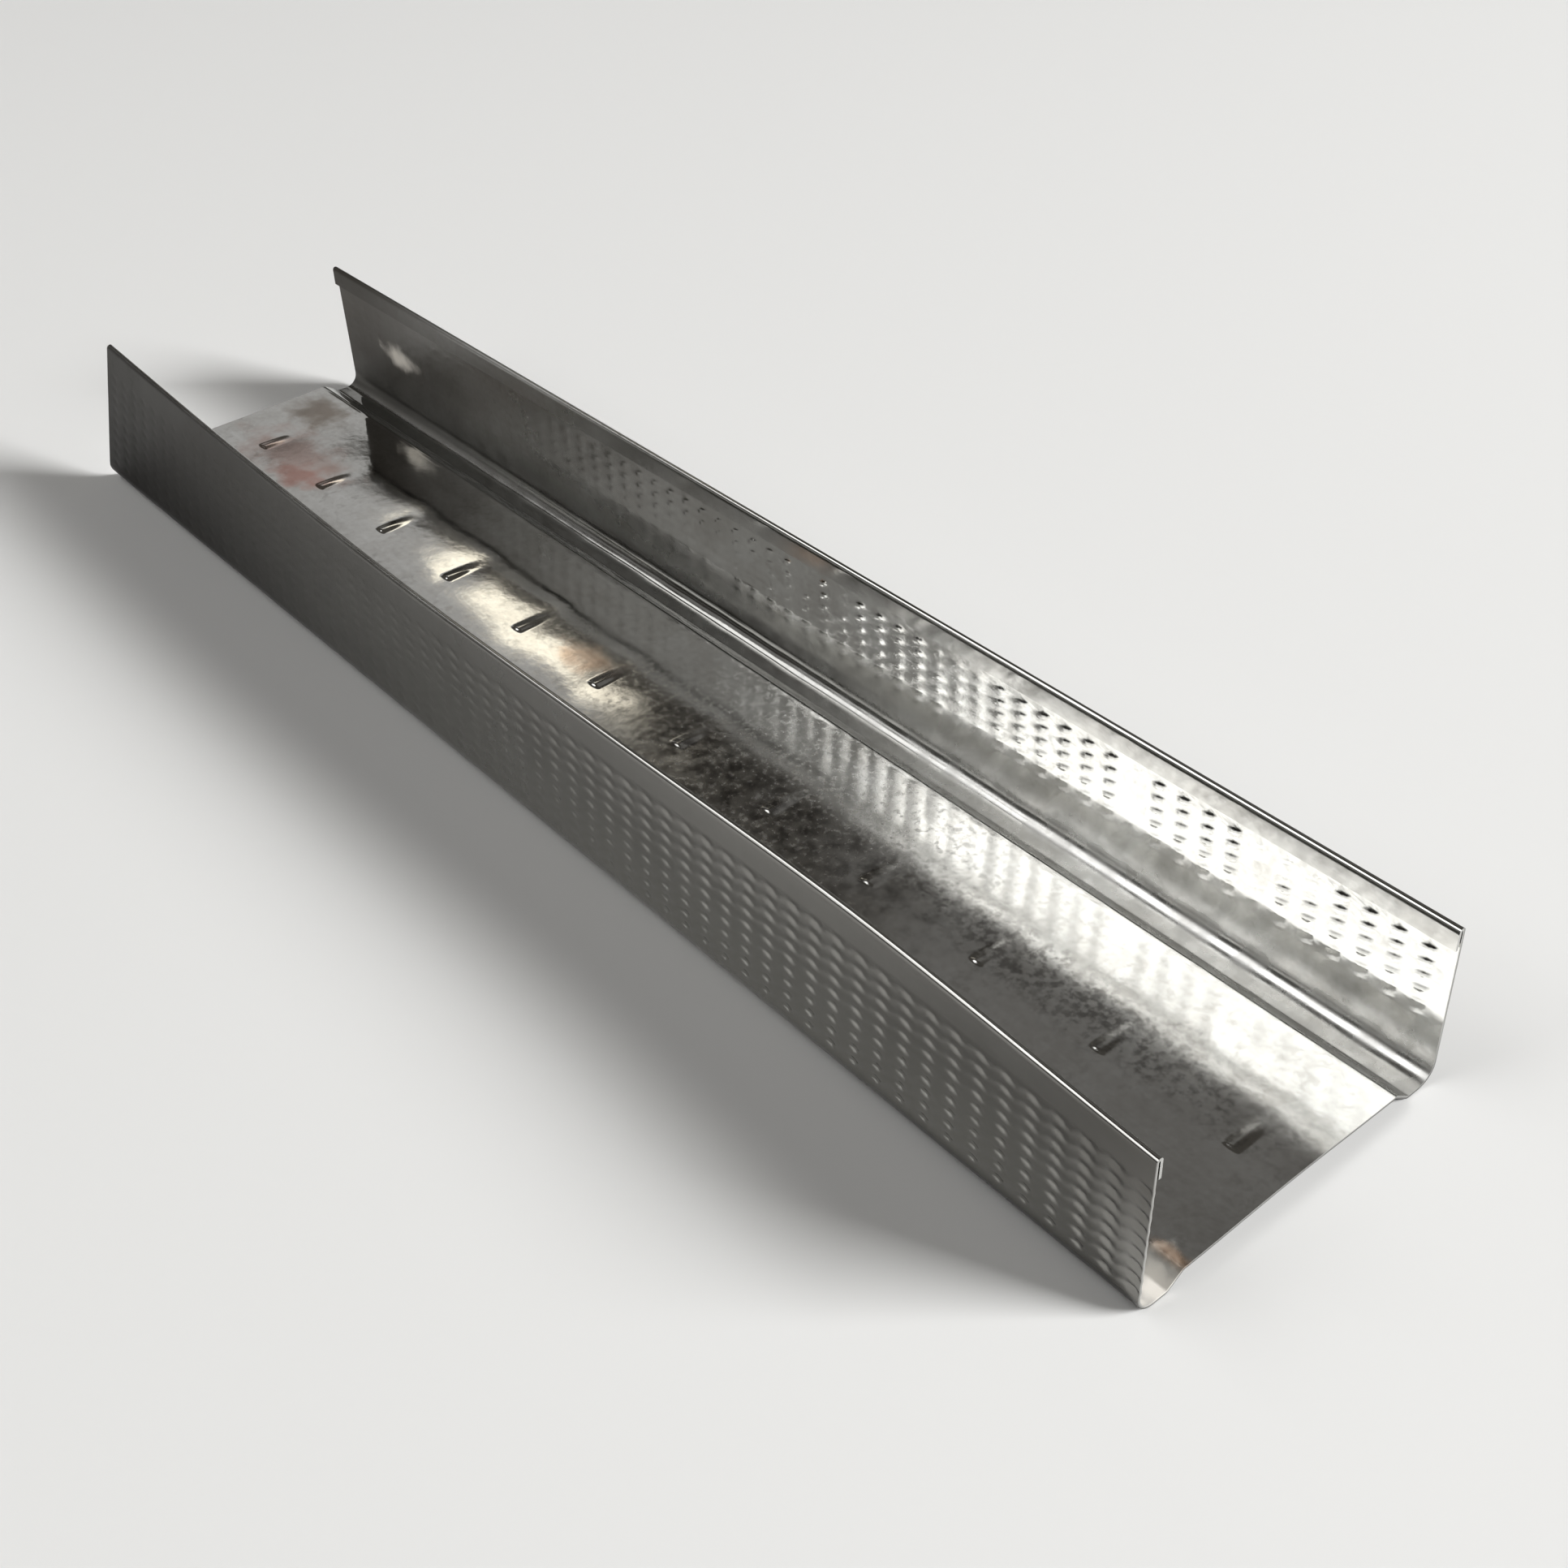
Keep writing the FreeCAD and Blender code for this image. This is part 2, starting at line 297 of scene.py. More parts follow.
# Roughness: polish of the zinc, scuffs on the near web, wear of the flange foot and of the near back bead,
# dull spots on the flat of the web, and what the marks add
POLISH = Ramp(0.3, 0.7, 0.05, 0.09)
WEB_HEIGHT = Ramp(2.9, 4.2, 1.0, 0.0)
SCUFFED_ALONG = Ramp(-40.0, 60.0, 0.0, 0.07)
WORN_ABOVE = Ramp(2.9, 4.2, 0.0, 1.0)
WORN_BELOW = Ramp(5.0, 15.0, 1.0, 0.0)
WORN_ROUGHNESS = Ramp(-0.4, 0.4, 0.1, 0.22)
BEAD_ACROSS = Ramp(22.0, 23.0, 0.0, 1.0)
BEAD_ALONG = Ramp(-20.0, 80.0, 0.0, 1.0)
BEAD_ROUGHNESS = Ramp(-0.3, 0.3, 0.06, 0.24)
SPOT_NOISE = Noise(0.9, 3.0)
SPOT_ROUGHNESS = Ramp(0.46, 0.7, 0.0, 0.2)
SPOT_START = Ramp(-30.0, 40.0, 0.1, 1.0)
SPOT_END = Ramp(45.0, 105.0, 1.0, 0.16)
SPOT_HEIGHT = Ramp(2.35, 2.65, 0.0, 1.0)
STAIN_AND_TINT_ROUGHNESS = 0.12
FLECK_ROUGHNESS = 0.15
CHALK_AND_SHEEN_ROUGHNESS = 0.4
FAR_BACK_ROUGHNESS = Ramp(-150.0, 10.0, 0.34, 0.0)
OUTSIDE_ROUGHNESS = Ramp(-100.0, 60.0, 0.34, 0.14)

# Faint ripple of the surface
RIPPLE_NOISE = Noise(0.4, 2.0)
RIPPLE_SPANGLE = 0.03
RIPPLE_HEIGHT = 0.012

# Floor, with its reach in metres
FLOOR_REACH = 12.0
FLOOR_DROP = 0.05
FLOOR_COLOUR = (0.70, 0.70, 0.69, 1.0)
FLOOR_ROUGHNESS = 0.8

# Dim room round the track, paler toward the horizon
ROOM_HORIZON = (0.5, 0.5, 0.49)
ROOM_ABOVE = (0.065, 0.06, 0.053)
ROOM_FADE = Ramp(0.03, 0.26, 0.0, 1.0)


class Softbox(NamedTuple):
    """Area lamp that faces the track from a direction, in metres.

    It is turned about its own axis by degrees, and shifted along its own sides.
    """
    name: str
    direction: tuple
    distance: float
    width: float
    height: float
    radiance: float
    colour: tuple = (1.0, 1.0, 1.0)
    turn: float = 0.0
    shift: tuple = (0.0, 0.0)


# Lamps; the two at the far end share one direction, and the warm window lies within the panel
WARM = (1.0, 0.93, 0.78)
FAR_DIRECTION = (-0.732, 0.417, 0.539)
FAR_TURN = 36.0
SOFTBOXES = (
    Softbox("key", (0.72, 0.51, 0.47), 4.0, 1.6, 1.2, 37.0),
    Softbox("flange_fill", (-0.355, -0.653, 0.669), 3.0, 1.44, 0.63, 2.4),
    Softbox("flange_high", (-0.313, -0.464, 0.829), 3.0, 1.2, 0.74, 2.4),
    Softbox("flange_low", (-0.398, -0.733, 0.552), 3.0, 1.5, 0.25, 1.6),
    Softbox("side_glow", (-0.55, -0.44, 0.71), 3.0, 0.9, 1.9, 0.22),
    Softbox("far_panel", FAR_DIRECTION, 6.0, 0.62, 1.57, 0.32, turn=FAR_TURN, shift=(0.21, -0.365)),
    Softbox("far_window", FAR_DIRECTION, 6.0, 0.34, 0.65, 1.4, WARM, FAR_TURN, (0.07, 0.075)),
    Softbox("rib_light", (-0.58, -0.21, 0.79), 3.0, 1.1, 1.0, 2.0),
    Softbox("near_panel", (-0.416, 0.532, 0.737), 3.0, 0.9, 0.8, 0.09),
)
# Power of a lamp for each square metre and unit of radiance
POWER_FOR_RADIANCE = 4.0

# Camera: its place, its direction and roll in degrees, and its lens
CAMERA_PLACE = (255.51, -166.24, 221.86)
CAMERA_AZIMUTH = -51.903
CAMERA_DROP = 38.317
CAMERA_ROLL = 3.097
CAMERA_LENS = 46.71
SENSOR = 36.0


def smooth_step(value):
    held = np.clip(value, 0.0, 1.0)
    return held * held * (3.0 - 2.0 * held)


def spline(points, at):
    """Smooth curve through a few points, with the slopes of a Catmull-Rom spline."""
    xs = np.array([p[0] for p in points])
    ys = np.array([p[1] for p in points])
    slopes = np.gradient(ys, xs)
    at = np.clip(at, xs[0], xs[-1])
    span = np.clip(np.searchsorted(xs, at, side="right") - 1, 0, len(xs) - 2)
    width = xs[span + 1] - xs[span]
    t = (at - xs[span]) / width
    start = ys[span] * (2 * t**3 - 3 * t**2 + 1) + slopes[span] * width * (t**3 - 2 * t**2 + t)
    end = ys[span + 1] * (3 * t**2 - 2 * t**3) + slopes[span + 1] * width * (t**3 - t**2)
    return start + end


# Section of the sheet: stations along its middle line, each (y, z, normal y, normal z)

def run(first, last, normal, shares):
    """Stations on a straight stretch, at shares of the way from first to last."""
    first = np.array(first)
    last = np.array(last)
    return [(*(first + (last - first) * share), *normal) for share in shares]


def bend(centre, radius, first_degrees, last_degrees, steps, facing):
    """Stations round a bend; facing is 1 where the sheet's upper side is the outer one."""
    stations = []
    for angle in np.radians(np.linspace(first_degrees, last_degrees, steps + 1)):
        out = np.array([math.cos(angle), math.sin(angle)])
        stations.append((*(np.array(centre) + radius * out), *(facing * out)))
    return stations


def web_rows():
    """Places across the web, close together where the ribs rise and run out."""
    edges = [-WEB_EDGE + WEB_MARGIN, WEB_EDGE - WEB_MARGIN]
    front_end = RIB_FRONT + RIB_FRONT_TAPER * np.array(RIB_FRONT_ROWS)
    back_end = RIB_BACK - RIB_BACK_TAPER * np.array(RIB_BACK_ROWS)
    middle = np.linspace(front_end[-1], back_end[0], RIB_MIDDLE_ROWS + 2)[1:-1]
    return np.sort(np.concatenate([edges, WEB_FRONT_ROWS, front_end, middle, back_end, WEB_BACK_ROWS]))


def half_section():
    """The back half of the section beside the web, in two bands: corner bead, and top with its hem."""
    inside = BEND_RADIUS
    outside = inside + SHEET
    middle_bend = inside + SHEET / 2
    hem_radius = HEM_GAP / 2 + SHEET / 2
    hem_outside = HEM_GAP / 2 + SHEET
    upper = (HALF_WIDTH - BEAD_WIDTH, BEAD_DEPTH - inside)
    lower = (HALF_WIDTH - BEAD_FLOOR, outside)
    corner = (HALF_WIDTH - CORNER_RADIUS, CORNER_RADIUS)
    hem = (HALF_WIDTH - hem_outside, LEG - hem_outside)
    reach = math.hypot(lower[0] - upper[0], lower[1] - upper[1])
    slope = math.asin((inside + outside) / reach) - math.atan2(lower[1] - upper[1], lower[0] - upper[0])
    tilt = math.degrees(slope)
    ramp = np.array([math.sin(slope), math.cos(slope)])
    ramp_first = np.array(upper) + middle_bend * ramp
    ramp_last = np.array(lower) - middle_bend * ramp
    foot = corner[1] + FOOT_MARGIN
    flange_y = FLANGE_MIDDLE
    bead = (
        bend(upper, middle_bend, 90.0, 90.0 - tilt, BEND_STEPS, 1)
        + run(ramp_first, ramp_last, ramp, RAMP_SHARES)
        + bend(lower, middle_bend, 270.0 - tilt, 270.0, BEND_STEPS, -1)
        + run((lower[0], SHEET / 2), (corner[0], SHEET / 2), (0.0, 1.0), FLOOR_SHARES)
        + bend(corner, CORNER_RADIUS - SHEET / 2, 270.0, 360.0, CORNER_STEPS, -1)
        + run((flange_y, corner[1]), (flange_y, foot), (-1.0, 0.0), (1.0,))
    )

    hem_foot = LEG - HEM_DEPTH
    flare = math.atan2(HEM_FLARE, HEM_DEPTH)
    return_side = (math.cos(flare), -math.sin(flare))
    fold = bend(hem, hem_radius, 0.0, 180.0 + math.degrees(flare), HEM_STEPS, -1)
    return_foot = (fold[-1][0] - HEM_FLARE, hem_foot)
    top = (
        run((flange_y, hem_foot - TOP_MARGIN), (flange_y, hem[1]), (-1.0, 0.0), TOP_SHARES)
        + fold
        + run(fold[-1][:2], return_foot, return_side, RETURN_SHARES)
    )
    return bead, top


def dimpled_wall(dimples):
    """Stations up the dimpled part of the back flange, five over the height of each row."""
    rows = dimples.lowest_row + dimples.row_pitch * np.arange(dimples.rows)
    across = DIMPLE_HALF_HEIGHT * DIMPLE_STATIONS
    return [(FLANGE_MIDDLE, z, -1.0, 0.0) for z in (rows[:, None] + across[None, :]).ravel()]


def mirrored(stations):
    """The same stations on the front side, in order from front to back."""
    return [(-y, z, -ny, nz) for y, z, ny, nz in reversed(stations)]


# Places along the track

def even_places(step):
    count = round(LENGTH / step)
    return np.linspace(-HALF_LENGTH, HALF_LENGTH, count + 1)


def rib_centres():
    return RIB_END_DISTANCE - HALF_LENGTH + RIB_PITCH * np.arange(RIB_COUNT)


def dimple_columns(dimples):
    count = int((dimples.last_column + HALF_LENGTH - DIMPLE_HALF_LENGTH) / DIMPLE_PITCH) + 1
    return np.sort(dimples.last_column - DIMPLE_PITCH * np.arange(count))


def ends_and(places):
    """Places along the track in order, with its two ends."""
    inside = np.abs(places) < HALF_LENGTH - END_MARGIN
    return np.concatenate([[-HALF_LENGTH], np.sort(places[inside]), [HALF_LENGTH]])


def web_places():
    near = RIB_HALF_WIDTH * np.array(RIB_PLACES)
    between = np.array(BETWEEN_PLACES)
    offsets = np.concatenate([-between, -near, near, between, [RIB_PITCH / 2]])
    return ends_and((rib_centres()[:, None] + offsets[None, :]).ravel())


def dimple_places(columns):
    offsets = DIMPLE_HALF_LENGTH * DIMPLE_STATIONS
    return ends_and((columns[:, None] + offsets[None, :]).ravel())


# Forms pressed into the sheet and its small unevenness, as heights along the sheet's normal

def rib_height(x, y):
    nearest = np.abs(x[:, None] - rib_centres()[None, :]).min(axis=1)
    crest = np.cos(0.5 * math.pi * np.clip(nearest / RIB_HALF_WIDTH, 0.0, 1.0)) ** 2
    rise = smooth_step((y - RIB_FRONT) / RIB_FRONT_TAPER) * smooth_step((RIB_BACK - y) / RIB_BACK_TAPER)
    dish_across = (y - RIB_OFFSET) / (RIB_DISH_STRETCH * RIB_DISH_REACH)
    dish = np.exp(-(nearest / RIB_DISH_REACH) ** 2 - dish_across ** 2)
    return RIB_HEIGHT * crest * rise - RIB_DISH_DEPTH * dish


def web_height(x, y):
    """Rise of the web over its true level: its crown, long waves and ribs."""
    inner = math.cos(0.5 * math.pi * y / WEB_EDGE) ** 2
    crown = WEB_CROWN * smooth_step((x - CROWN_START) / (CROWN_FULL - CROWN_START))
    waves = sum(wave.height * np.sin(x / wave.along + wave.phase + y / wave.across) for wave in WAVES)
    return inner * crown + waves * smooth_step((WEB_EDGE - abs(y)) / WAVE_MARGIN) + rib_height(x, y)


def bead_height(x, y, z):
    """Small dents along the beads and corners, lifted to lie above the true form."""
    groups = np.sin(x / DENT_GROUP_LENGTH + DENT_CLIMB * z)
    dents = np.sin(x / DENT_LENGTH + DENT_SWAY * math.sin(y)) * groups
    long_dents = LONG_DENT_SHARE * np.sin(x / LONG_DENT_LENGTH + y)
    return DENT_DEPTH * (DENT_LIFT + dents + long_dents)


def dimple_height(x, columns, depths, across):
    nearest = np.abs(x[:, None] - columns[None, :]).argmin(axis=1)
    along = np.clip(np.abs(x - columns[nearest]) / DIMPLE_HALF_LENGTH, 0.0, 1.0)
    return depths[nearest] * (np.cos(0.5 * math.pi * along) * math.cos(0.5 * math.pi * across)) ** 2


def dimple_slide(x, columns, slant):
    """Shift of the rows up or down, which turns each dimple about its middle."""
    nearest = np.abs(x[:, None] - columns[None, :]).argmin(axis=1)
    along = np.clip(x - columns[nearest], -DIMPLE_PITCH / 2, DIMPLE_PITCH / 2)
    return slant * along * (1.0 - (2.0 * along / DIMPLE_PITCH) ** 2)


def dimple_depths(columns, dimples):
    """Depth of each dimple of a flange by column and row: the roll has pressed some less than others.

    Some columns are pressed less in all rows, as many in the upper rows, and as many in the others.
    """
    random = np.random.default_rng(dimples.seed)
    spread = 1.0 - DIMPLE_SPREAD * random.random((len(columns), dimples.rows))
    draw = random.random((len(columns), 1))
    share = dimples.shallow_share
    upper = np.arange(dimples.rows)[None, :] >= dimples.rows - UPPER_ROWS
    shallow_all = draw < share
    shallow_upper = (share <= draw) & (draw < 2 * share) & upper
    shallow_rest = (2 * share <= draw) & (draw < 3 * share) & ~upper
    pressed = np.where(shallow_all | shallow_upper | shallow_rest, SHALLOW_DEPTH, 1.0)
    first, last = dimples.growth
    grown = dimples.far_share + (1.0 - dimples.far_share) * smooth_step((columns - first) / (last - first))
    by_row = 1.0 + (dimples.foot_share - 1.0) * np.linspace(1.0, 0.0, dimples.rows) ** 2
    return dimples.depth * by_row * spread * pressed * grown[:, None]


def dimple_row(z, dimples):
    """Row of dimples at a height, and the place across it in half heights."""
    row = round((z - dimples.lowest_row) / dimples.row_pitch)
    return row, (z - dimples.lowest_row - dimples.row_pitch * row) / DIMPLE_HALF_HEIGHT


def painted_dimple_shade(x, z, dimples):
    """Painted shade on the upper half of each dimple that is pressed to the full depth."""
    columns = dimple_columns(dimples)
    row, across = dimple_row(z, dimples)
    nearest = np.abs(x[:, None] - columns[None, :]).argmin(axis=1)
    along = np.abs(x - columns[nearest]) / DIMPLE_HALF_LENGTH
    pressed = dimple_depths(columns, dimples)[nearest, row] / dimples.depth
    deep = smooth_step((pressed - DIMPLE_SHADE_LEAST_DEPTH) / (DIMPLE_SHADE_FULL_DEPTH - DIMPLE_SHADE_LEAST_DEPTH))
    near = smooth_step((x - DIMPLE_SHADE_START) / (DIMPLE_SHADE_FULL - DIMPLE_SHADE_START))
    strength = DIMPLE_SHADE_CREST_STRENGTH if across < DIMPLE_SHADE_CREST else 1.0
    covered = (along < DIMPLE_SHADE_REACH) & (DIMPLE_SHADE_LOWEST < across < DIMPLE_SHADE_HIGHEST)
    return np.where(covered, strength * deep * near, 0.0)


def front_lean(x, z):
    share = np.clip((z - CORNER_RADIUS) / (LEG - CORNER_RADIUS), 0.0, 1.0)
    return spline(FRONT_LEAN, x) * share


# Mesh of the strip

class StripMesh:
    """Both faces of the sheet, closed along its cut edges, with the vertex values of the finish and of the
    painted shade.
    """

    def __init__(self):
        self.points = []
        self.values = {OUTSIDE: [], DIMPLE_SHADE: []}
        self.faces = []
        self.count = 0

    def add_row(self, x, y, z, values):
        """Points at places x along the track. The rest holds for the whole row or for each place."""
        self.points.append(np.stack(np.broadcast_arrays(x, y, z), axis=1))
        for name, value in values.items():
            self.values[name].append(np.broadcast_to(value, x.shape))
        row = np.arange(self.count, self.count + len(x))
        self.count += len(x)
        return row

    def face(self, corners, flip):
        self.faces.append(corners[::-1] if flip else corners)

    def fill(self, first, last, flip):
        """Quads between two rows with the same places."""
        for i in range(len(first) - 1):
            self.face((first[i], first[i + 1], last[i + 1], last[i]), flip)

    def zip_rows(self, first, first_x, last, last_x, flip):
        """Triangles between two rows with different places."""
        i = 0
        j = 0
        while i < len(first) - 1 or j < len(last) - 1:
            take_first = j == len(last) - 1
            if i < len(first) - 1 and j < len(last) - 1:
                take_first = first_x[i + 1] <= last_x[j + 1]
            if take_first:
                self.face((first[i], first[i + 1], last[j]), flip)
                i += 1
            else:
                self.face((first[i], last[j + 1], last[j]), flip)
                j += 1


def strip_bands():
    """Bands of the whole section from the front hem to the back one: (kind, stations, places)."""
    bead, top = half_section()
    coarse = even_places(COARSE_STEP)
    medium = even_places(MEDIUM_STEP)
    web = [(y, BEAD_DEPTH + SHEET / 2, 0.0, 1.0) for y in web_rows()]
    fine = {side: dimple_places(dimple_columns(dimples)) for side, dimples in FLANGES.items()}
    return [
        ("plain", mirrored(top), coarse),
        ("front", mirrored(dimpled_wall(FLANGES["front"])), fine["front"]),
        ("bead", mirrored(bead), medium),
        ("web", web, web_places()),
        ("bead", bead, medium),
        ("back", dimpled_wall(FLANGES["back"]), fine["back"]),
        ("plain", top, coarse),
    ]


def pressed_forms(kind, places, y, z):
    """Height of the sheet over its true form along a row, and the row's slide along the sheet."""
    none = np.zeros_like(places)
    if kind == "web":
        return web_height(places, y), none
    if kind == "bead":
        return bead_height(places, y, z), none
    if kind == "plain":
        return none, none
    dimples = FLANGES[kind]
    columns = dimple_columns(dimples)
    row, across = dimple_row(z, dimples)
    depths = dimple_depths(columns, dimples)[:, row]
    return dimple_height(places, columns, depths, across), dimple_slide(places, columns, dimples.slant)


def sheet_rows(strip, kind, places, station):
    """Rows of points at one station of the section: on the inner face of the sheet and on the outer one."""
    y, z, normal_y, normal_z = station
    height, slide = pressed_forms(kind, places, y, z)
    # How far an outer point takes the outer face's painted shade and duller finish
    outward = math.hypot(max(0.0, normal_z), max(0.0, -normal_y * math.copysign(1.0, y)))
    outer_weight = HEM_OUTER_WEIGHT + (1.0 - HEM_OUTER_WEIGHT) * outward
    dimples = FLANGES.get(kind)
    pair = []
    for side in (1, -1):
        outer = side < 0
        share = dimples.outer_share if outer and dimples else 1.0
        offset = share * height + side * SHEET / 2
        side_y = y + normal_y * offset
        side_z = z + normal_z * offset + slide
        if y < 0:
            side_y = side_y + front_lean(places, side_z)
        # Painted shade on the back flange's dimples, kept as a vertex value
        dimple_shade = painted_dimple_shade(places, z, dimples) if kind == "back" and not outer else 0.0
        values = {OUTSIDE: outer_weight if outer else 0.0, DIMPLE_SHADE: dimple_shade}
        pair.append(strip.add_row(places, side_y, side_z, values))
    return pair


def close_strip(strip, rows):
    """Faces between neighbouring rows, over the cut ends and along the edges of the hems."""
    for (places, pair), (next_places, next_pair) in zip(rows, rows[1:]):
        for side, flip in ((0, False), (1, True)):
            if places is next_places:
                strip.fill(pair[side], next_pair[side], flip)
            else:
                strip.zip_rows(pair[side], places, next_pair[side], next_places, flip)
        for end, flip in ((0, False), (-1, True)):
            strip.face((pair[0][end], next_pair[0][end], next_pair[1][end], pair[1][end]), flip)
    first_inner, first_outer = rows[0][1]
    last_inner, last_outer = rows[-1][1]
    strip.fill(first_outer, first_inner, False)
    strip.fill(last_inner, last_outer, False)


def make_strip():
    strip = StripMesh()
    rows = []
    for kind, stations, places in strip_bands():
        for station in stations:
            rows.append((places, sheet_rows(strip, kind, places, station)))
    close_strip(strip, rows)
    points = np.concatenate(strip.points) * MM
    faces = [[int(corner) for corner in face] for face in strip.faces]
    mesh = bpy.data.meshes.new("track_sheet")
    mesh.from_pydata(points.tolist(), [], faces)
    mesh.validate()
    mesh.shade_smooth()
    mesh.set_sharp_from_angle(angle=math.radians(SHARP_DEGREES))
    for name, values in strip.values.items():
        mesh.attributes.new(name, "FLOAT", "POINT").data.foreach_set("value", np.concatenate(values))
    sheet = bpy.data.objects.new("track_sheet", mesh)
    bpy.context.scene.collection.objects.link(sheet)
    return sheet


# Materials

class Nodes:
    """Short forms for building a node tree."""

    def __init__(self, tree):
        self.tree = tree
        tree.nodes.clear()

    def add(self, kind, **settings):
        node = self.tree.nodes.new(kind)
        for key, value in settings.items():
            setattr(node, key, value)
        return node

    def feed(self, node, name, value):
        """Set an input of a node, or link another node's output to it."""
        if isinstance(value, bpy.types.NodeSocket):
            self.tree.links.new(value, node.inputs[name])
        else:
            node.inputs[name].default_value = value

    def math(self, operation, first, second):
        node = self.add("ShaderNodeMath", operation=operation)
        self.feed(node, 0, first)
        self.feed(node, 1, second)
        return node.outputs[0]

    def vector(self, operation, first, second):
        node = self.add("ShaderNodeVectorMath", operation=operation)
        self.feed(node, 0, first)
        self.feed(node, 1, second)
        return node

    def ramp(self, value, ramp):
        node = self.add("ShaderNodeMapRange", interpolation_type="SMOOTHSTEP")
        self.feed(node, "Value", value)
        for name, setting in zip(("From Min", "From Max", "To Min", "To Max"), ramp):
            self.feed(node, name, setting)
        return node.outputs["Result"]

    def mix(self, share, first, second):
        """A colour between two colours."""
        node = self.add("ShaderNodeMix", data_type="RGBA")
        self.feed(node, 0, share)
        for name, colour in ((6, first), (7, second)):
            self.feed(node, name, colour if isinstance(colour, bpy.types.NodeSocket) else (*colour, 1.0))
        return node.outputs[2]

    def noise(self, place, noise):
        node = self.add("ShaderNodeTexNoise")
        self.feed(node, "Vector", place)
        self.feed(node, "Scale", noise.scale)
        self.feed(node, "Detail", noise.detail)
        return node.outputs["Fac"]

    def attribute(self, name):
        return self.add("ShaderNodeAttribute", attribute_name=name).outputs["Fac"]

    def sum(self, *values):
        total = values[0]
        for value in values[1:]:
            total = self.math("ADD", total, value)
        return total

    def product(self, *values):
        total = values[0]
        for value in values[1:]:
            total = self.math("MULTIPLY", total, value)
        return total

    def patch(self, at, middle, reach):
        """Ragged-edged patch: 1 at its middle and 0 beyond its reach."""
        offset = self.vector("SUBTRACT", at.place, middle).outputs[0]
        scaled = self.vector("DIVIDE", offset, reach).outputs[0]
        away = self.vector("LENGTH", scaled, (0.0, 0.0, 0.0)).outputs["Value"]
        return self.ramp(self.math("ADD", away, at.ragged), PATCH_EDGE)


class Surface(NamedTuple):
    """Sockets that give a point's place in millimetres, the face that it is on and its grain."""
    place: bpy.types.NodeSocket
    along: bpy.types.NodeSocket
    across: bpy.types.NodeSocket
    height: bpy.types.NodeSocket
    outside: bpy.types.NodeSocket
    inside: bpy.types.NodeSocket
    cloud: bpy.types.NodeSocket
    spangle: bpy.types.NodeSocket
    ragged: bpy.types.NodeSocket


def new_material(name):
    material = bpy.data.materials.new(name)
    material.use_nodes = True
    return material, Nodes(material.node_tree)


def surface_of(nodes):
    coordinates = nodes.add("ShaderNodeTexCoord")
    to_millimetres = (1 / MM, 1 / MM, 1 / MM)
    place = nodes.vector("MULTIPLY", coordinates.outputs["Object"], to_millimetres).outputs[0]
    split = nodes.add("ShaderNodeSeparateXYZ")
    nodes.feed(split, 0, place)
    outside = nodes.attribute(OUTSIDE)
    cells = nodes.add("ShaderNodeTexVoronoi")
    nodes.feed(cells, "Vector", place)
    nodes.feed(cells, "Scale", SPANGLE_SCALE)
    cell_colour = nodes.add("ShaderNodeSeparateColor")
    nodes.feed(cell_colour, 0, cells.outputs["Color"])
    uneven = nodes.math("SUBTRACT", nodes.noise(place, RAGGED_NOISE), RAGGED_LEVEL)
    return Surface(
        place,
        *split.outputs,
        outside,
        inside=nodes.math("SUBTRACT", 1.0, outside),
        cloud=nodes.noise(place, CLOUD_NOISE),
        spangle=cell_colour.outputs[0],
        ragged=nodes.product(uneven, RAGGED_REACH),
    )


def zinc_colour(nodes, at):
    """Colour of the clean zinc, how pale it is, and its flecks."""
    drawn = nodes.vector("MULTIPLY", at.place, STREAK_SQUEEZE).outputs[0]
    paleness = nodes.sum(
        nodes.product(at.cloud, CLOUD_SHARE),
        nodes.product(nodes.noise(at.place, SPECKLE_NOISE), SPECKLE_SHARE),
        nodes.product(nodes.noise(drawn, STREAK_NOISE), STREAK_SHARE),
        nodes.product(at.spangle, SPANGLE_SHARE),
        PALENESS_LEVEL,
    )
    flecks = nodes.product(
        nodes.ramp(nodes.noise(at.place, FLECK_NOISE), FLECK_STRENGTH),
        nodes.ramp(nodes.noise(at.place, CLUSTER_NOISE), CLUSTER_STRENGTH),
    )
    zinc = nodes.mix(paleness, ZINC_DARK, ZINC_PALE)
    return nodes.mix(flecks, zinc, FLECK_COLOUR), paleness, flecks


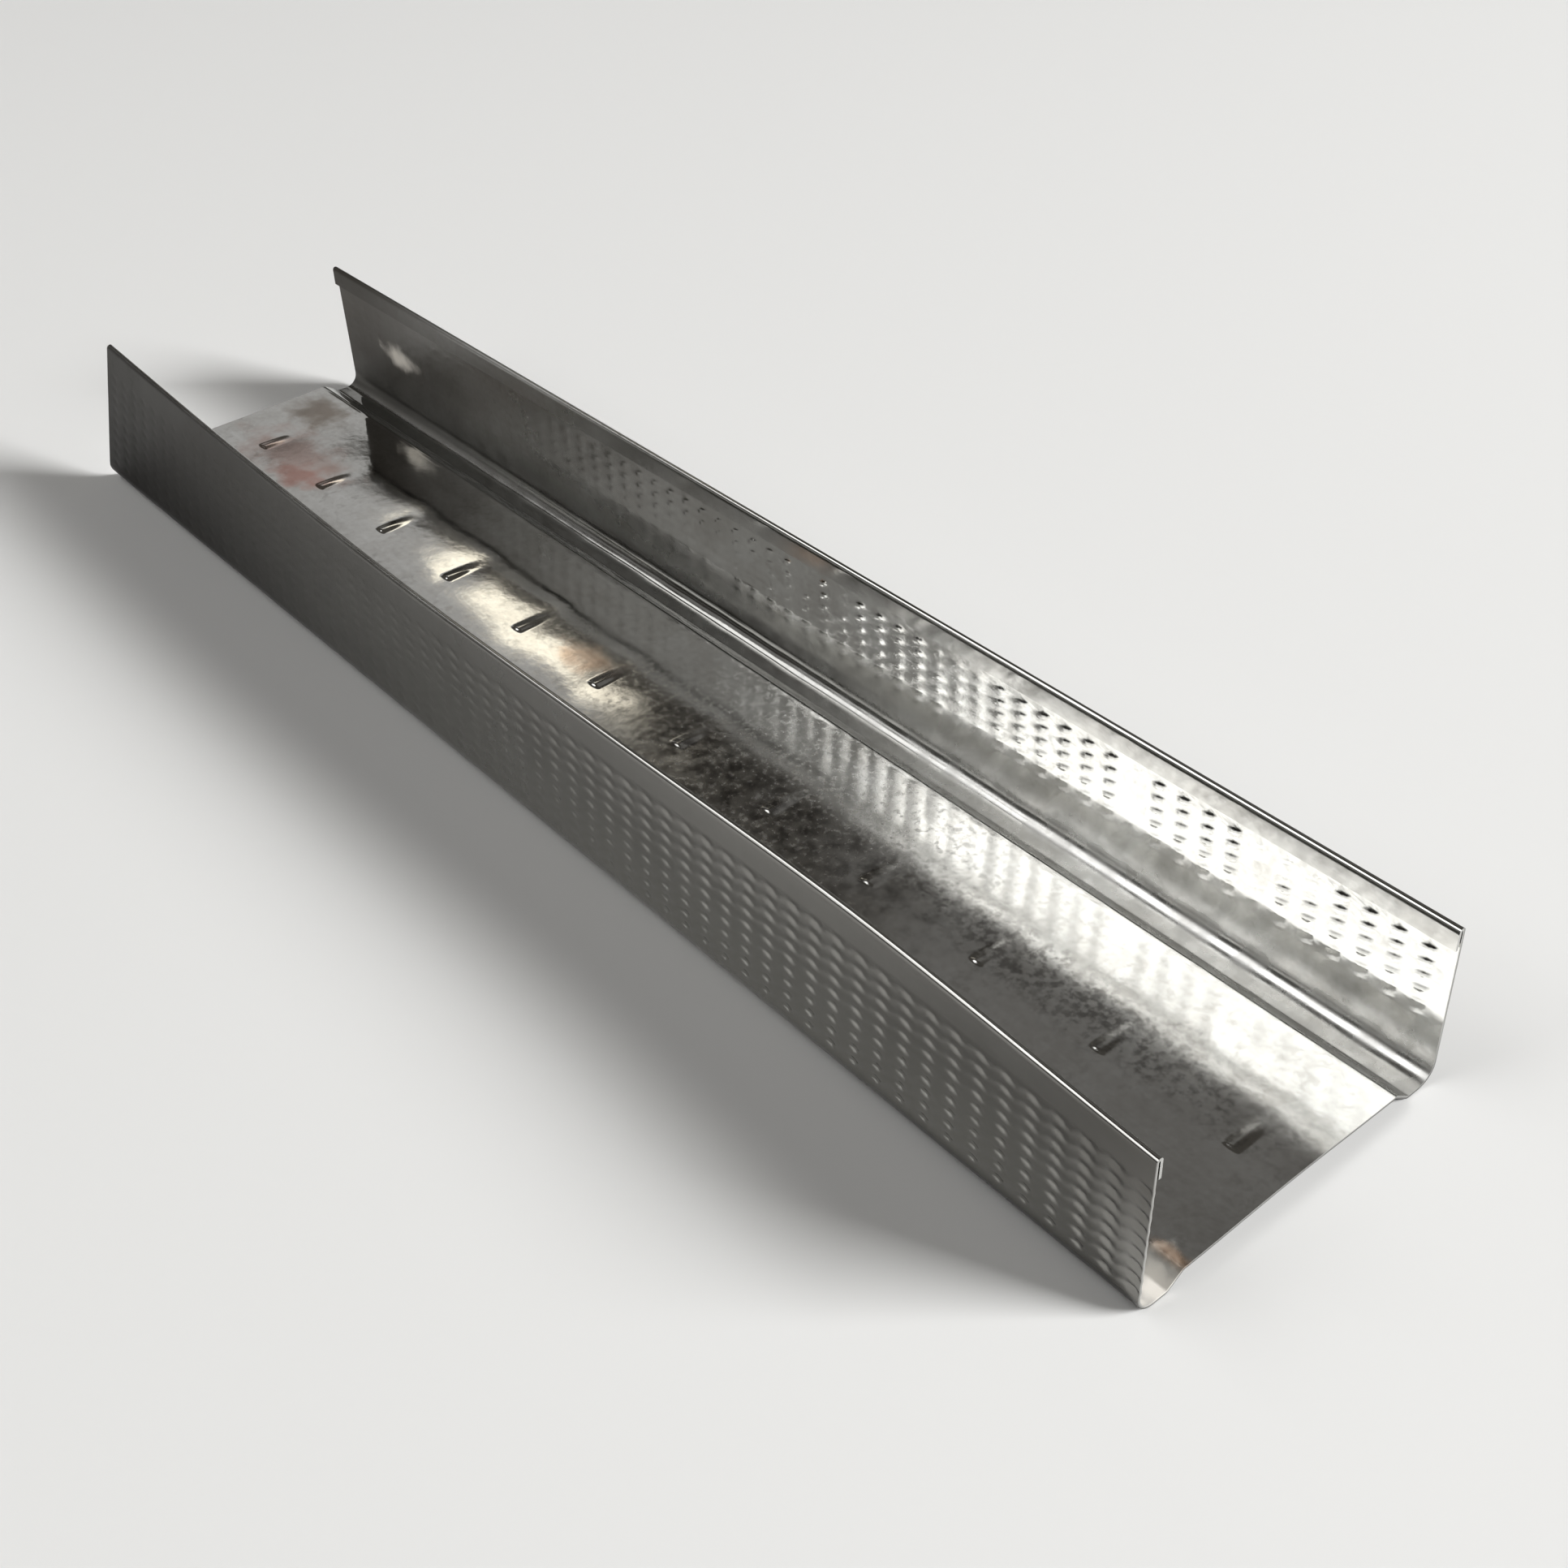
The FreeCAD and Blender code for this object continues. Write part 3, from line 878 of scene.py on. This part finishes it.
def inside_colour(nodes, at, zinc):
    """Colour of the inner face with its marks and painted light, and the strength of its stains and tints
    and of its chalky patches.
    """
    colour = zinc
    stained_or_tinted = 0.0
    # Real stains, and painted reflection tints that warm the zinc's reflections
    for middle, reach, stain_or_tint, strength in STAINS_AND_TINTS:
        share = nodes.product(nodes.patch(at, middle, reach), strength, at.inside)
        colour = nodes.mix(share, colour, stain_or_tint)
        stained_or_tinted = nodes.math("MAXIMUM", share, stained_or_tinted)
    back_flange = nodes.ramp(at.across, BACK_FLANGE_ACROSS)
    # Painted shade: the far end of the back flange darkened toward dark brown, in place of the dark room it
    # reflects
    far_back_shade = nodes.product(nodes.ramp(at.along, FAR_BACK_SHADE_ALONG), back_flange)
    colour = nodes.mix(far_back_shade, colour, FAR_BACK_SHADE_COLOUR)
    # Painted shade low on the back flange and over its bead
    foot = nodes.product(
        nodes.ramp(at.height, FOOT_HEIGHT),
        nodes.ramp(at.along, FOOT_ALONG),
        nodes.ramp(at.across, FOOT_ACROSS),
    )
    colour = nodes.mix(foot, colour, FOOT_SHADE_COLOUR)
    # Painted shade on the upper halves of the back flange's deep dimples
    dimple_shade = nodes.product(nodes.attribute(DIMPLE_SHADE), DIMPLE_SHADE_STRENGTH)
    colour = nodes.mix(dimple_shade, colour, DIMPLE_SHADE_COLOUR)
    dirt = 0.0
    for middle, reach, noise, strength in DIRT:
        broken = nodes.ramp(nodes.noise(at.place, noise), strength)
        dirt = nodes.math("MAXIMUM", nodes.product(nodes.patch(at, middle, reach), broken), dirt)
    colour = nodes.mix(nodes.product(dirt, at.inside), colour, DIRT_COLOUR)
    # Pale chalky patches: one real smudge, and one painted sheen in place of a bright reflection
    chalk_and_sheen = 0.0
    for middle, reach in CHALK_AND_SHEEN_PATCHES:
        chalk_and_sheen = nodes.math("MAXIMUM", nodes.patch(at, middle, reach), chalk_and_sheen)
    chalk_and_sheen = nodes.product(chalk_and_sheen, at.inside)
    return nodes.mix(nodes.product(chalk_and_sheen, CHALK_AND_SHEEN_STRENGTH), colour, CHALK_AND_SHEEN_COLOUR), stained_or_tinted, chalk_and_sheen


# Colour of the outer face: painted shade, darkest at the far end, along the lower corner, toward the top and
# at the near end
def outside_colour(nodes, at, paleness):
    near = nodes.ramp(at.along, OUTER_SHADE_ALONG)
    colour = nodes.mix(near, OUTER_SHADE_FAR, OUTER_SHADE_NEAR)
    colour = nodes.mix(nodes.product(paleness, near, OUTER_SHADE_PALE_SHARE), colour, OUTER_SHADE_PALE)
    corner = nodes.product(nodes.ramp(at.height, CORNER_HEIGHT), nodes.ramp(at.along, CORNER_ALONG))
    colour = nodes.mix(corner, colour, CORNER_SHADE_COLOUR)
    extra_shade = nodes.sum(nodes.ramp(at.height, EXTRA_SHADE_HEIGHT), nodes.ramp(at.along, EXTRA_SHADE_ALONG))
    return nodes.mix(nodes.product(extra_shade, at.outside), colour, EXTRA_SHADE_COLOUR)


def sheet_roughness(nodes, at, flecks, stained_or_tinted, chalk_and_sheen):
    web = nodes.ramp(at.height, WEB_HEIGHT)
    worn = nodes.product(
        nodes.ramp(at.height, WORN_ABOVE),
        nodes.ramp(at.height, WORN_BELOW),
        nodes.ramp(at.ragged, WORN_ROUGHNESS),
        at.inside,
    )
    worn_bead = nodes.product(
        nodes.ramp(at.across, BEAD_ACROSS),
        web,
        nodes.ramp(at.along, BEAD_ALONG),
        nodes.ramp(at.ragged, BEAD_ROUGHNESS),
    )
    dull_spots = nodes.product(
        nodes.ramp(nodes.noise(at.place, SPOT_NOISE), SPOT_ROUGHNESS),
        nodes.ramp(at.along, SPOT_START),
        nodes.ramp(at.along, SPOT_END),
        nodes.ramp(at.height, SPOT_HEIGHT),
        web,
    )
    back_flange = nodes.ramp(at.across, BACK_FLANGE_ACROSS)
    return nodes.sum(
        nodes.ramp(at.cloud, POLISH),
        nodes.product(nodes.ramp(at.along, SCUFFED_ALONG), web),
        nodes.product(stained_or_tinted, STAIN_AND_TINT_ROUGHNESS),
        worn,
        nodes.product(flecks, FLECK_ROUGHNESS),
        dull_spots,
        worn_bead,
        nodes.product(chalk_and_sheen, CHALK_AND_SHEEN_ROUGHNESS),
        nodes.product(back_flange, nodes.ramp(at.along, FAR_BACK_ROUGHNESS)),
        nodes.product(at.outside, nodes.ramp(at.along, OUTSIDE_ROUGHNESS)),
    )


def galvanised_material():
    """Zinc with faint spangle, clouds and roll streaks; inside, stains, painted reflection tints, painted
    shade and a painted sheen in places; outside dull and painted darker.
    """
    material, nodes = new_material("galvanised_sheet")
    shader = nodes.add("ShaderNodeBsdfPrincipled")
    output = nodes.add("ShaderNodeOutputMaterial")
    nodes.feed(output, "Surface", shader.outputs["BSDF"])
    at = surface_of(nodes)
    zinc, paleness, flecks = zinc_colour(nodes, at)
    inner, stained_or_tinted, chalk_and_sheen = inside_colour(nodes, at, zinc)
    outer = outside_colour(nodes, at, paleness)
    nodes.feed(shader, "Base Color", nodes.mix(at.outside, inner, outer))
    nodes.feed(shader, "Roughness", sheet_roughness(nodes, at, flecks, stained_or_tinted, chalk_and_sheen))
    nodes.feed(shader, "Metallic", nodes.math("SUBTRACT", 1.0, nodes.product(chalk_and_sheen, CHALK_AND_SHEEN_METAL_LOSS)))
    bump = nodes.add("ShaderNodeBump")
    ripple = nodes.noise(at.place, RIPPLE_NOISE)
    nodes.feed(bump, "Height", nodes.sum(ripple, nodes.product(at.spangle, RIPPLE_SPANGLE)))
    nodes.feed(bump, "Distance", RIPPLE_HEIGHT * MM)
    nodes.feed(shader, "Normal", bump.outputs["Normal"])
    return material


def floor_material():
    material, nodes = new_material("pale_floor")
    shader = nodes.add("ShaderNodeBsdfPrincipled")
    output = nodes.add("ShaderNodeOutputMaterial")
    nodes.feed(shader, "Base Color", FLOOR_COLOUR)
    nodes.feed(shader, "Roughness", FLOOR_ROUGHNESS)
    nodes.feed(output, "Surface", shader.outputs["BSDF"])
    return material


# Floor, light and camera

def make_floor():
    mesh = bpy.data.meshes.new("floor")
    low, high = -FLOOR_REACH, FLOOR_REACH
    sides = ((low, low), (high, low), (high, high), (low, high))
    mesh.from_pydata([(x, y, -FLOOR_DROP * MM) for x, y in sides], [], [(0, 1, 2, 3)])
    floor = bpy.data.objects.new("floor", mesh)
    mesh.materials.append(floor_material())
    bpy.context.scene.collection.objects.link(floor)


def make_softbox(box):
    lamp = bpy.data.lights.new(box.name, "AREA")
    lamp.shape = "RECTANGLE"
    lamp.size = box.width
    lamp.size_y = box.height
    lamp.energy = POWER_FOR_RADIANCE * box.width * box.height * box.radiance
    lamp.color = box.colour
    holder = bpy.data.objects.new(box.name, lamp)
    toward = Vector(box.direction).normalized()
    facing = toward.to_track_quat("Z", "Y").to_matrix() @ Matrix.Rotation(math.radians(box.turn), 3, "Z")
    holder.location = toward * box.distance + facing @ Vector((*box.shift, 0.0))
    holder.rotation_euler = facing.to_euler()
    bpy.context.scene.collection.objects.link(holder)


def make_world():
    world = bpy.data.worlds.new("studio")
    bpy.context.scene.world = world
    world.use_nodes = True
    nodes = Nodes(world.node_tree)
    background = nodes.add("ShaderNodeBackground")
    output = nodes.add("ShaderNodeOutputWorld")
    coordinates = nodes.add("ShaderNodeTexCoord")
    split = nodes.add("ShaderNodeSeparateXYZ")
    nodes.feed(split, 0, coordinates.outputs["Generated"])
    fade = nodes.ramp(split.outputs["Z"], ROOM_FADE)
    nodes.feed(background, "Color", nodes.mix(fade, ROOM_HORIZON, ROOM_ABOVE))
    nodes.feed(output, "Surface", background.outputs["Background"])


def make_camera():
    azimuth = math.radians(CAMERA_AZIMUTH)
    drop = math.radians(CAMERA_DROP)
    roll = math.radians(CAMERA_ROLL)
    forward = Vector((
        math.cos(drop) * math.sin(azimuth),
        math.cos(drop) * math.cos(azimuth),
        -math.sin(drop),
    ))
    level_right = forward.cross(Vector((0.0, 0.0, 1.0))).normalized()
    level_down = forward.cross(level_right)
    right = math.cos(roll) * level_right + math.sin(roll) * level_down
    up = math.sin(roll) * level_right - math.cos(roll) * level_down
    data = bpy.data.cameras.new("camera")
    data.lens = CAMERA_LENS
    data.sensor_width = SENSOR
    camera = bpy.data.objects.new("camera", data)
    turn = Matrix((right, up, -forward)).transposed().to_4x4()
    camera.matrix_world = Matrix.Translation(Vector(CAMERA_PLACE) * MM) @ turn
    bpy.context.scene.collection.objects.link(camera)
    bpy.context.scene.camera = camera


bpy.context.scene.view_settings.view_transform = "Standard"
sheet = make_strip()
sheet.data.materials.append(galvanised_material())
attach(sheet, "root")
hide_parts("track")
make_floor()
make_world()
for box in SOFTBOXES:
    make_softbox(box)
make_camera()
